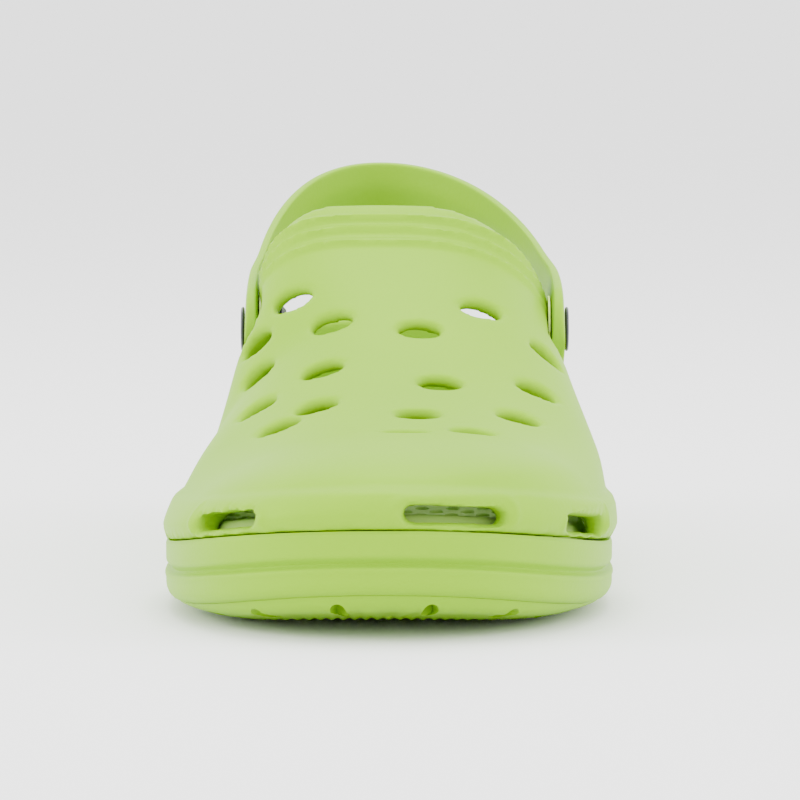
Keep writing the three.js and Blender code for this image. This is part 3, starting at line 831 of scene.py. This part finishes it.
    def build(self, material: bpy.types.Material) -> bpy.types.Object:
        """Makes the upper: outer body less inner body, opening, pads, holes and vents."""
        upper = self.body("upper", 0.0, 0.0, 128, 120)
        inside = self.body("inside", self.wall, 6.0, 96, 90)
        for side in Side:
            face = self.rivets.pad_face(side)
            seat = face - side.value * self.pad_thickness
            cut(inside, *self.pads(side, seat, face + side.value * self.pad_depth, self.pad_rim))
        cut(upper, inside, self.opening())
        for side in Side:
            face = self.rivets.pad_face(side)
            seat = face - side.value * self.pad_thickness
            cut(upper, *self.pads(side, face, face + side.value * self.pad_depth))
            ends = [self.rivets.point(seat - side.value * far) for far in (self.pad_depth, 0)]
            cut(upper, rod("cap_seat", self.cap_seat_radius, *ends))
        cut(upper, *(self.hole_plug(hole) for hole in self.holes))
        cut(upper, *(self.vent_plug(vent) for vent in self.vents))
        self.soften(upper)
        self.raise_details(upper)
        for side in Side:
            ends = [self.rivets.point(self.rivets.pad_face(side) + side.value * far) for far in (-8, 3)]
            cut(upper, rod("bore", self.rivets.bore_radius, *ends))
        smooth_shaded(upper, 50)
        dress(upper, material)
        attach(upper, "shoe")
        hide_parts("upper_shell")
        return upper

    def soften(self, piece: bpy.types.Object) -> None:
        """Rounds every edge as a mould does: an even fine mesh, then a light smoothing."""
        pick(piece)
        remesh = piece.modifiers.new("even", "REMESH")
        remesh.mode = "VOXEL"
        remesh.voxel_size = self.voxel * MM
        bpy.ops.object.modifier_apply(modifier=remesh.name)
        smooth = piece.modifiers.new("round", "SMOOTH")
        smooth.factor = 0.5
        smooth.iterations = 5
        bpy.ops.object.modifier_apply(modifier=smooth.name)


# ---- sole layers ---------------------------------------------------------------------------------------


@dataclass(frozen=True)
class Layer:
    """One level of a sole layer's skin: its inset from the outline, its height and its spread.

    A spread of 1 is the outline itself, and 0 is drawn together onto the middle line.
    """

    inset: float
    height: Height
    spread: float = 1.0


def layered(name: str, form: ShoeForm, levels: Sequence[Layer], columns: int) -> bpy.types.Object:
    """Forms a body whose skin runs through levels from the bottom's middle line to the top's."""

    def place(u: float, v: float) -> Vector:
        level = levels[round(v * (len(levels) - 1))]
        turn = (u % 1.0) * 2
        side = 1 if turn <= 1 else -1
        share = turn if turn <= 1 else 2 - turn
        start, end = form.toe_y + level.inset, form.heel_y - level.inset
        y = between(start, end, (1 - math.cos(math.pi * share)) / 2)
        x = form.middle_x(y) + side * form.half_width(y, level.inset) * level.spread
        return Vector((x, y, level.height(y)))

    return formed(name, columns, len(levels) - 1, place)


@dataclass
class SoleUnit:
    """The cushion layer: two soft bulges round its side with a groove between."""

    form: ShoeForm
    tread_thickness: float = 4.0
    groove_depth: float = 1.5
    groove_at: float = 0.5
    steps: int = 44

    def inset(self, share: float) -> float:
        """Returns the side wall's inset at a share of its height."""
        lower = 2.4 * (1 - round_off(1 - share / 0.22, 2.2)) if share < 0.22 else 0.0
        groove = self.groove_depth * bump(share - self.groove_at, 0.11)
        brow = -0.35 * bump(share - self.groove_at + 0.11, 0.09)
        lip = 0.5 * ease((share - 0.93) / 0.07)
        return max(0.0, 0.35 + lower + groove + brow + lip)

    def build(self, material: bpy.types.Material) -> bpy.types.Object:
        """Makes the sole unit."""
        form = self.form

        def level(share: float, spread: float = 1.0) -> Layer:
            def height(y: float) -> float:
                low = form.ground_z(y) + self.tread_thickness + 0.05
                return between(low, form.joint_z(y), share)

            return Layer(self.inset(share), height, spread)

        side = [level(k / self.steps) for k in range(self.steps + 1)]
        bottom = [level(0.0, spread) for spread in (0.0, 0.35, 0.7, 0.95)]
        top = [level(1.0, spread) for spread in (0.95, 0.7, 0.35, 0.0)]
        sole = layered("sole", form, bottom + side + top, 320)
        smooth_shaded(sole, 40)
        dress(sole, material)
        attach(sole, "shoe")
        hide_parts("sole_unit")
        return sole


@dataclass
class Tread:
    """The layer on the ground, with arched notches round its edge and fine ribs underneath."""

    form: ShoeForm
    thickness: float = 4.0
    crown: float = 2.6
    notch_pitch: float = 23.0
    notch_radius: float = 2.0
    notch_reach: float = 9.0
    rib_pitch: float = 2.8
    rib_height: float = 0.5
    groove_pitch: float = 24.0

    def curl(self, y: float) -> float:
        """Returns how far the tread's edge curls up at y."""
        form = self.form
        return self.crown * ease((form.ball_y + 20 - y) / 50) * (1 - ease((form.ball_y - 30 - y) / 56))

    def skin(self) -> list[Layer]:
        """Lists the tread's levels, from the middle of its underside to the middle of its top."""
        form = self.form

        def lifted(lift: float, curl: float = 0.0) -> Height:
            return lambda y: form.ground_z(y) + lift + curl * self.curl(y)

        under = [Layer(18, lifted(0), k / 70) for k in range(71)]
        edge = [
            Layer(13, lifted(0.1, 0.15)),
            Layer(8.5, lifted(0.15, 0.55)),
            Layer(5.4, lifted(0.2, 1)),
            Layer(4.3, lifted(0.7, 0.9)),
            Layer(3.6, lifted(1.7, 0.6)),
            Layer(3.1, lifted(2.8, 0.25)),
            Layer(2.8, lifted(self.thickness)),
        ]
        return under + edge + [Layer(2.8, lifted(self.thickness), spread) for spread in (0.9, 0.5, 0.0)]

    def notches(self) -> list[bpy.types.Object]:
        """Makes the round bars that cut the notches, square to the outline at an even pitch."""
        form = self.form
        count = 240
        path = []
        for k in range(count):
            turn = 2 * k / count
            side, share = (1, turn) if turn <= 1 else (-1, 2 - turn)
            y = between(form.toe_y + 4, form.heel_y - 4, (1 - math.cos(math.pi * share)) / 2)
            path.append(Vector((form.middle_x(y) + side * form.half_width(y, 4), y, 0)))
        lengths = [(path[(k + 1) % count] - path[k]).length for k in range(count)]
        total = round(sum(lengths) / self.notch_pitch)
        pitch = sum(lengths) / total
        bars = []
        travelled, due = 0.0, pitch / 2
        for k, length in enumerate(lengths):
            while due <= travelled + length and len(bars) < total:
                step = path[(k + 1) % count] - path[k]
                at = path[k] + step * ((due - travelled) / length)
                at.z = form.ground_z(at.y) + 0.3
                out = Vector((step.y, -step.x, 0)).normalized() * self.notch_reach
                bars.append(rod("notch", self.notch_radius, at - out, at + out, corners=20))
                due += pitch
            travelled += length
        return bars

    def grooves(self) -> list[bpy.types.Object]:
        """Makes the round bars that cut the cross grooves, short of the edge lugs."""
        form = self.form
        count = int((form.heel_y - form.toe_y - 60) / self.groove_pitch)
        bars = []
        for k in range(count):
            y = (k - (count - 1) / 2) * self.groove_pitch
            half = form.half_width(y, 18)
            ends = [Vector((form.middle_x(y) + side * half, y, form.ground_z(y) + 0.2)) for side in (-1, 1)]
            bars.append(rod("groove", 2.1, *ends, corners=16))
        return bars

    def build(self, material: bpy.types.Material) -> bpy.types.Object:
        """Makes the tread."""
        tread = layered("tread", self.form, self.skin(), 300)
        moved: list[float] = []
        for point in [vertex.co / MM for vertex in tread.data.vertices]:
            low = ease((self.form.ground_z(point.y) + 2.6 - point.z) / 2.6)
            edge = ease((self.form.half_width(point.y) - abs(point.x - self.form.middle_x(point.y)) - 5) / 6)
            wave = 0.5 - 0.5 * math.cos(2 * math.pi * point.x / self.rib_pitch)
            point.z += self.rib_height * wave * low * edge
            moved.extend(point * MM)
        tread.data.vertices.foreach_set("co", moved)
        tread.data.update()
        cut(tread, *self.notches(), *self.grooves())
        smooth_shaded(tread, 32)
        dress(tread, material)
        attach(tread, "shoe")
        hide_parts("outsole_tread")
        return tread


@dataclass
class Footbed:
    """The lift-out insole: a cupped foam bed with rows of low massage nubs."""

    form: ShoeForm
    edge: float = 5.8
    thickness: float = 4.5
    rim: float = 3.0
    nub_pitch: float = 8.0
    nub_radius: float = 1.9
    nub_height: float = 0.8

    def bed_z(self, y: float) -> float:
        """Returns the height of the bed at y."""
        return self.form.joint_z(y) + self.form.seat_gap + self.thickness

    def rim_z(self, y: float) -> float:
        """Returns the height of the cupped rim above the bed at y."""
        return self.rim * ease((y - self.form.collar_y + 70) / 70)

    def levels(self) -> list[Layer]:
        """Lists the footbed's levels, from the middle of its underside to the middle of its bed."""

        def height(lift: float, share: float = 0.0) -> Height:
            return lambda y: self.bed_z(y) + lift + share * self.rim_z(y)

        low = -self.thickness
        skin = [Layer(self.edge + 0.6, height(low), spread) for spread in (0.0, 0.4, 0.8)]
        skin += [
            Layer(self.edge + 0.6, height(low)),
            Layer(self.edge + 0.9, height(low + 0.8)),
            Layer(self.edge + 2.2, height(-1.2, 0.9)),
            Layer(self.edge + 2.8, height(-0.4, 1)),
            Layer(self.edge + 3.6, height(0, 1)),
            Layer(self.edge + 4.8, height(0, 0.85)),
            Layer(self.edge + 7.0, height(0, 0.3)),
            Layer(self.edge + 10.0, height(0, 0.06)),
            Layer(self.edge + 13.0, height(0)),
        ]
        return skin + [Layer(self.edge + 13.0, height(0), spread) for spread in (0.75, 0.5, 0.25, 0.0)]

    def nub_places(self) -> list[Vector]:
        """Lists where the nubs stand, in staggered rows well inside the rim."""
        form = self.form
        places = []
        rows = int((form.heel_y - form.toe_y) / (self.nub_pitch * 0.87))
        for row in range(rows):
            y = form.toe_y + (row + 0.5) * self.nub_pitch * 0.87
            half = form.half_width(y) - self.edge - 8
            for k in range(-7, 8):
                x = (k + 0.5 * (row % 2)) * self.nub_pitch
                if abs(x) < half and form.toe_y + 18 < y < form.heel_y - 18:
                    places.append(Vector((form.middle_x(y) + x, y, self.bed_z(y) - 0.05)))
        return places

    def build(self, material: bpy.types.Material) -> bpy.types.Object:
        """Makes the footbed and joins its nubs to it."""
        bed = layered("footbed", self.form, self.levels(), 240)
        deselect_all()
        bpy.ops.mesh.primitive_uv_sphere_add(segments=12, ring_count=6, radius=self.nub_radius * MM)
        nub = named("nub")
        bpy.ops.object.mode_set(mode="EDIT")
        bpy.ops.mesh.select_all(action="SELECT")
        bpy.ops.transform.resize(value=(1, 1, self.nub_height / self.nub_radius))
        bpy.ops.object.mode_set(mode="OBJECT")
        nubs = []
        for at in self.nub_places():
            copy = bpy.data.objects.new("nub", nub.data.copy())
            copy.data.transform(Matrix.Translation(at * MM))
            bpy.context.collection.objects.link(copy)
            nubs.append(copy)
        bpy.data.objects.remove(nub, do_unlink=True)
        pick(bed)
        for copy in nubs:
            copy.select_set(True)
        bpy.ops.object.join()
        smooth_shaded(bed, 60)
        dress(bed, material)
        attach(bed, "shoe")
        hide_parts("insole")
        return bed


# ---- heel strap and rivets -----------------------------------------------------------------------------


@dataclass
class HeelStrap:
    """The strap: a soft-edged band that loops behind the heel from rivet to rivet."""

    rivets: RivetLine
    reach: float = 112.0
    tilt: float = 15.5
    bow: float = 2.1
    back_shift: float = -7.0
    end_radius: float = 12.0
    arm_width: float = 20.0
    back_width: float = 24.0
    middle_thickness: float = 4.6
    lean: float = 0.11
    lean_start: float = 18.0
    lean_length: float = 22.0

    def half_width(self, distance: float) -> float:
        """Returns half the band's width at a distance behind the pivot."""
        if distance < 0:
            return math.sqrt(max(0.0, self.end_radius**2 - distance**2))
        neck = between(self.end_radius, self.arm_width / 2, ease(distance / 34))
        return between(neck, self.back_width / 2, ease((distance - 45) / 65))

    def path(self, share: float) -> tuple[Vector, Vector, float, float]:
        """Finds a place along the strap, in its own frame, where y runs back from the pivot.

        Args:
            share: From 0 at the big-toe side's end to 1 at the other end.

        Returns:
            The band's centre, its outward direction, the distance behind the pivot and the thickness.
        """
        faces = {side: self.rivets.strap_faces(side) for side in Side}
        centres = {side: (inner + outer) / 2 for side, (inner, outer) in faces.items()}
        end_thickness = abs(faces[Side.LATERAL][1] - faces[Side.LATERAL][0])
        middle = (centres[Side.MEDIAL] + centres[Side.LATERAL]) / 2
        half = (centres[Side.LATERAL] - centres[Side.MEDIAL]) / 2
        end = 0.1
        if share < end or share > 1 - end:
            side = Side.MEDIAL if share < 0.5 else Side.LATERAL
            ahead = max(end - share, share - 1 + end) / end
            distance = -self.end_radius * math.sin(ahead * math.pi / 2)
            return Vector((centres[side], distance, 0)), Vector((side.value, 0, 0)), distance, end_thickness

        def at(angle: float) -> Vector:
            back = math.sin(angle) ** (2 / self.bow)
            out = math.copysign(abs(math.cos(angle)) ** (2 / self.bow), math.cos(angle))
            return Vector((middle + self.back_shift * back**2 + half * out, (self.reach - 2) * back, 0))

        angle = math.pi * (1 - (share - end) / (1 - 2 * end))
        centre = at(angle)
        step = 1e-3
        tangent = at(max(0.0, angle - step)) - at(min(math.pi, angle + step))
        outward = Vector((-tangent.y, tangent.x, 0)).normalized()
        swell = ease((centre.y - 20) / 60)
        return centre, outward, centre.y, between(end_thickness, self.middle_thickness, swell)

    def build(self, material: bpy.types.Material) -> bpy.types.Object:
        """Makes the strap: a soft rectangular section carried along the loop."""
        turn = Matrix.Rotation(math.radians(self.tilt), 4, "X")

        def place(u: float, v: float) -> Vector:
            centre, outward, distance, thickness = self.path(v)
            half = self.half_width(distance)
            angle = 2 * math.pi * (u % 1.0)
            cosine, sine = math.cos(angle), math.sin(angle)
            across = math.copysign(abs(cosine) ** (2 / 5), cosine) * thickness / 2
            rise = math.copysign(abs(sine) ** (2 / 3.2), sine) * half
            # The inner face rolls away from the foot towards the band's top edge.
            if across < 0:
                across *= 1 - 0.5 * ease((rise / max(half, 0.01) - 0.3) / 0.7) * ease(distance / 50)
            point = centre + outward * across
            lean = self.lean * ease((distance - self.lean_start) / self.lean_length)
            point.x -= outward.x * lean * rise
            point.z += rise
            return turn @ point + self.rivets.point(0)

        strap = formed("strap", 56, 260, place)
        far = self.rivets.strap_faces(Side.LATERAL)[1] + 5
        ends = (self.rivets.point(-far), self.rivets.point(far))
        cut(strap, rod("bore", self.rivets.bore_radius, *ends))
        smooth_shaded(strap, 50)
        dress(strap, material)
        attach(strap, "strap")
        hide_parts("heel_strap")
        return strap


@dataclass
class RivetHeads:
    """The snap rivets' outer halves: low domed heads with a moulded ring, on plain shanks."""

    rivets: RivetLine
    head_radius: float = 6.0
    head_height: float = 0.9
    seat_depth: float = 1.5  # from the frame's head top inwards to the seat
    shank_radius: float = 2.6

    def build(self, side: Side, material: bpy.types.Material) -> bpy.types.Object:
        """Makes one stud, its head outside the strap."""
        inner, outer = self.rivets.reach("rivet_stud", side)
        seat = outer - side.value * self.seat_depth
        name = f"rivet_head_{side.name.lower()}"
        deselect_all()
        bpy.ops.mesh.primitive_cylinder_add(
            vertices=64, radius=self.head_radius * MM, depth=self.head_height * MM
        )
        head = named(name)
        bpy.ops.object.mode_set(mode="EDIT")
        bpy.ops.mesh.select_all(action="DESELECT")
        bpy.ops.object.mode_set(mode="OBJECT")
        top = max(head.data.polygons, key=lambda face: face.center.z)
        top.select = True
        bpy.ops.object.mode_set(mode="EDIT")
        bpy.ops.mesh.select_mode(type="FACE")
        bpy.ops.mesh.inset(thickness=1.1 * MM)
        bpy.ops.mesh.inset(thickness=0.5 * MM, depth=-0.25 * MM)
        bpy.ops.mesh.inset(thickness=0.5 * MM, depth=0.25 * MM)
        bpy.ops.object.mode_set(mode="OBJECT")
        bevel = head.modifiers.new("edge", "BEVEL")
        bevel.width = 0.5 * MM
        bevel.segments = 3
        bevel.limit_method = "ANGLE"
        bevel.angle_limit = math.radians(50)
        pick(head)
        bpy.ops.object.modifier_apply(modifier=bevel.name)
        turn = Vector((0, 0, 1)).rotation_difference(Vector((side.value, 0, 0))).to_matrix().to_4x4()
        middle = self.rivets.point(seat + side.value * self.head_height / 2)
        head.data.transform(Matrix.Translation(middle * MM) @ turn)
        ends = (self.rivets.point(inner), self.rivets.point(seat + side.value * 0.4))
        shank = rod("shank", self.shank_radius, *ends)
        pick(head)
        shank.select_set(True)
        bpy.ops.object.join()
        smooth_shaded(head, 35)
        dress(head, material)
        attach(head, "shoe")
        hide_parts(f"rivet_stud_{side.name.lower()}")
        return head


# ---- studio --------------------------------------------------------------------------------------------


@dataclass(frozen=True)
class Softbox:
    """A square light that faces the shoe."""

    name: str
    place: tuple[float, float, float]  # metres
    size: float
    power: float

    def build(self) -> bpy.types.Object:
        """Makes the light."""
        light = bpy.data.lights.new(self.name, "AREA")
        light.shape = "SQUARE"
        light.size = self.size
        light.energy = self.power
        lamp = bpy.data.objects.new(self.name, light)
        lamp.location = self.place
        aim = Vector((0, 0, 0.05)) - Vector(self.place)
        lamp.rotation_euler = aim.to_track_quat("-Z", "Y").to_euler()
        bpy.context.collection.objects.link(lamp)
        return lamp


@dataclass(frozen=True)
class Studio:
    """A pale floor, soft lights and a long-lens camera low in front of the toe."""

    floor_colour: str = "#f2f2f2"
    sky: float = 0.9
    camera_distance: float = 1300.0
    camera_rise: float = 5.0
    look_at: tuple[float, float, float] = (2.75, 0.0, 46.7)
    lens: float = 217.5
    lights: tuple[Softbox, ...] = (
        Softbox("overhead_softbox", (0.0, 0.1, 1.3), 0.7, 14.0),
        Softbox("front_softbox", (0.3, -1.6, 0.8), 0.9, 8.0),
        Softbox("left_softbox", (-1.3, -0.3, 0.6), 0.7, 12.0),
        Softbox("right_softbox", (1.3, -0.2, 0.6), 0.7, 9.0),
    )

    def build_floor(self) -> bpy.types.Object:
        """Makes the floor, a wide round sheet under the shoe."""
        deselect_all()
        bpy.ops.mesh.primitive_circle_add(vertices=96, radius=60.0, fill_type="NGON")
        floor = named("floor")
        material = bpy.data.materials.new("painted_studio_board")
        material.use_nodes = True
        shader = material.node_tree.nodes["Principled BSDF"]
        shader.inputs["Base Color"].default_value = linear(self.floor_colour)
        shader.inputs["Roughness"].default_value = 0.9
        shader.inputs["Specular IOR Level"].default_value = 0.1
        dress(floor, material)
        return floor

    def build_camera(self) -> bpy.types.Object:
        """Makes the camera and makes it the scene's."""
        rise = math.radians(self.camera_rise)
        back = Vector((0, -math.cos(rise), math.sin(rise))) * self.camera_distance
        data = bpy.data.cameras.new("camera")
        data.lens = self.lens
        data.sensor_width = 36.0
        camera = bpy.data.objects.new("camera", data)
        camera.location = (Vector(self.look_at) + back) * MM
        camera.rotation_euler = (-back).to_track_quat("-Z", "Y").to_euler()
        bpy.context.collection.objects.link(camera)
        bpy.context.scene.camera = camera
        return camera

    def build(self) -> None:
        """Makes camera, lights, sky and floor."""
        self.build_camera()
        for light in self.lights:
            light.build()
        world = bpy.data.worlds.new("studio_air")
        world.use_nodes = True
        background = world.node_tree.nodes["Background"]
        background.inputs["Color"].default_value = (self.sky, self.sky, self.sky, 1)
        background.inputs["Strength"].default_value = 2.9
        bpy.context.scene.world = world
        self.build_floor()


# ---- assembly ------------------------------------------------------------------------------------------


def main() -> None:
    """Builds every piece, dresses it and reports it."""
    Studio().build()
    low, high = box_of("sole_unit")
    form = ShoeForm(toe_y=low.y, heel_y=high.y, ball_width=high.x - low.x)
    rivets = RivetLine.from_frame()
    lime = MouldedFoam("lime_moulded_eva_foam", "#80ae00", "#78a800").material()
    green = MouldedFoam("olive_footbed_eva_foam", "#a4c763", "#98bd57", roughness=0.75).material()
    acetal = MouldedAcetal("dark_moulded_acetal", "#2f3237").material()
    spacer = MouldedAcetal("lime_moulded_acetal", "#b9d94a").material()

    pieces = [
        Upper(form, rivets).build(lime),
        SoleUnit(form).build(lime),
        Tread(form).build(lime),
        Footbed(form).build(green),
        HeelStrap(rivets).build(lime),
    ]
    for side in Side:
        pieces.append(RivetHeads(rivets).build(side, acetal))
        cap = frame["nodes"][f"rivet_cap_{side.name.lower()}"]
        washer = frame["nodes"][f"spacer_washer_{side.name.lower()}"]
        dress(cap, acetal)
        dress(washer, spacer)
        log.info("%s and %s keep their frame shape", cap.name, washer.name)
    for piece in pieces:
        log.info("%s: %d faces", piece.name, len(piece.data.polygons))


if __name__ == "__main__":
    logging.basicConfig(level=logging.INFO, format="%(name)s: %(message)s")
    main()
